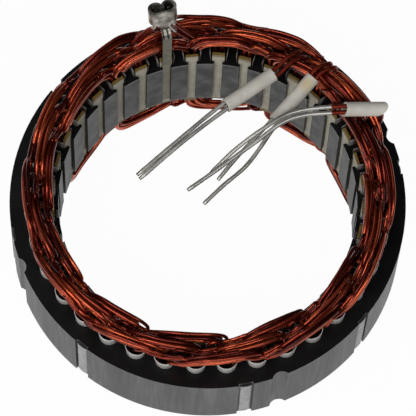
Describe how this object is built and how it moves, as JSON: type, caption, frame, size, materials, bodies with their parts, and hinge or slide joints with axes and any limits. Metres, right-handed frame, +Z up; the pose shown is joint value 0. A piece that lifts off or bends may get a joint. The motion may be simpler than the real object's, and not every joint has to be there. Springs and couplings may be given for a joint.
{
  "type": "wound stator",
  "caption": "Alternator stator: slotted laminated steel ring with lined slots, three-phase enamelled copper winding, sleeved tinned leads and a crimped star point terminal.",
  "frame": {"origin": "on the rotor axis, at the middle of the lamination stack", "axes": "+Z up along the rotor axis, towards the end with the leads; +X and +Y through slot centres, with the leads on the +X +Y side"},
  "size_m": [0.128, 0.128, 0.0748],
  "materials": {
    "core_steel": "black varnish on the end faces, bare ground steel on the rim",
    "enamelled_copper": "glossy red-brown enamel over copper",
    "tinned_wire": "bright tin over copper",
    "sleeving": "matt warm white varnished sleeving",
    "plated_terminal": "dull tin plate",
    "liner_paper": "varnished insulating paper",
    "wedge_strip": "pressed insulating strip"
  },
  "bodies": {
    "root": {"core": "core_steel", "slot_wedges": "wedge_strip", "phase_u_winding": "enamelled_copper", "phase_v_winding": "enamelled_copper", "phase_w_winding": "enamelled_copper", "lead_u_wires": "tinned_wire", "lead_v_wires": "tinned_wire", "lead_w_wires": "tinned_wire", "lead_u_sleeve": "sleeving", "lead_v_sleeve": "sleeving", "lead_w_sleeve": "sleeving", "star_terminal": "plated_terminal", "star_u_wires": "tinned_wire", "star_v_wires": "tinned_wire", "star_w_wires": "tinned_wire", "slot_liner_1": "liner_paper", "slot_liner_2": "liner_paper", "slot_liner_3": "liner_paper", "slot_liner_4": "liner_paper", "slot_liner_5": "liner_paper", "slot_liner_6": "liner_paper", "slot_liner_7": "liner_paper", "slot_liner_8": "liner_paper", "slot_liner_9": "liner_paper", "slot_liner_10": "liner_paper", "slot_liner_11": "liner_paper", "slot_liner_12": "liner_paper", "slot_liner_13": "liner_paper", "slot_liner_14": "liner_paper", "slot_liner_15": "liner_paper", "slot_liner_16": "liner_paper", "slot_liner_17": "liner_paper", "slot_liner_18": "liner_paper", "slot_liner_19": "liner_paper", "slot_liner_20": "liner_paper", "slot_liner_21": "liner_paper", "slot_liner_22": "liner_paper", "slot_liner_23": "liner_paper", "slot_liner_24": "liner_paper", "slot_liner_25": "liner_paper", "slot_liner_26": "liner_paper", "slot_liner_27": "liner_paper", "slot_liner_28": "liner_paper", "slot_liner_29": "liner_paper", "slot_liner_30": "liner_paper", "slot_liner_31": "liner_paper", "slot_liner_32": "liner_paper", "slot_liner_33": "liner_paper", "slot_liner_34": "liner_paper", "slot_liner_35": "liner_paper", "slot_liner_36": "liner_paper"}
  },
  "joints": []
}
